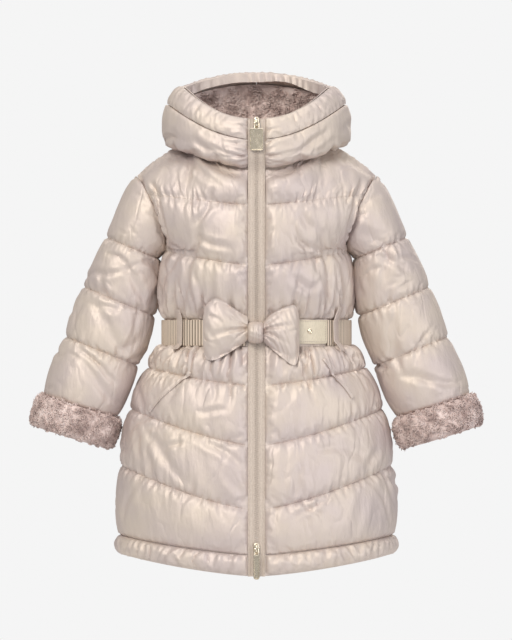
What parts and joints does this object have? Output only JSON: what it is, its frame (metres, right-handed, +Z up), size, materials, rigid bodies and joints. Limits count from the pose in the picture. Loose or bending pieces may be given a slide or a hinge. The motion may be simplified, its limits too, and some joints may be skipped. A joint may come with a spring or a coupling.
{
  "type": "hooded puffer coat",
  "caption": "Child's knee-length quilted puffer coat with a fur-lined hood, fur cuffs, two-way front zip and an elastic belt tied with a padded bow.",
  "frame": {"origin": "middle of the neck at shoulder height, inside the coat, where the wearer holds it", "axes": "+Z up, -Y is the coat's front, +X is the wearer's left"},
  "size_m": [0.616, 0.2598, 0.6872],
  "materials": {
    "shell_cloth": "pearly champagne coated polyester, padded and quilted",
    "fur": "curly taupe faux fur",
    "zip_tape": "woven beige zip tape",
    "zip_teeth": "pale gold moulded teeth",
    "metal": "pale gold plated zip metal and stud",
    "elastic": "ribbed beige elastic with a gold thread",
    "strap": "flat cream coated strap"
  },
  "bodies": {
    "coat": {"back_bodice": "shell_cloth", "back_skirt": "shell_cloth", "belt": "elastic", "belt_loop_left": "shell_cloth", "belt_loop_right": "shell_cloth", "belt_stud": "metal", "belt_tab": "strap", "bow_knot": "shell_cloth", "bow_loop_left": "shell_cloth", "bow_loop_right": "shell_cloth", "cuff_left": "fur", "cuff_right": "fur", "front_bodice_left": "shell_cloth", "front_bodice_right": "shell_cloth", "front_skirt_left": "shell_cloth", "front_skirt_right": "shell_cloth", "hem_back": "shell_cloth", "hem_front_left": "shell_cloth", "hem_front_right": "shell_cloth", "hood_band_left": "shell_cloth", "hood_band_right": "shell_cloth", "hood_centre": "shell_cloth", "hood_facing": "shell_cloth", "hood_left": "shell_cloth", "hood_lining": "fur", "hood_right": "shell_cloth", "pocket_welt_left": "shell_cloth", "pocket_welt_right": "shell_cloth", "sleeve_left": "shell_cloth", "sleeve_right": "shell_cloth", "waistband": "shell_cloth", "zip_chain": "zip_teeth", "zip_slider_bottom": "metal", "zip_slider_top": "metal", "zip_tape_left": "zip_tape", "zip_tape_right": "zip_tape"},
    "top_pull": {"zip_pull_top": "metal"},
    "bottom_pull": {"zip_pull_bottom": "metal"}
  },
  "joints": [
    {"name": "top_pull_hinge", "type": "hinge", "parent": "coat", "child": "top_pull", "pos_m": [0, -0.09681, 0.0485], "axis": [-1, 0, 0], "range_deg": [0, 150]},
    {"name": "bottom_pull_hinge", "type": "hinge", "parent": "coat", "child": "bottom_pull", "pos_m": [0, -0.1292, -0.521], "axis": [-1, 0, 0], "range_deg": [0, 150]}
  ]
}
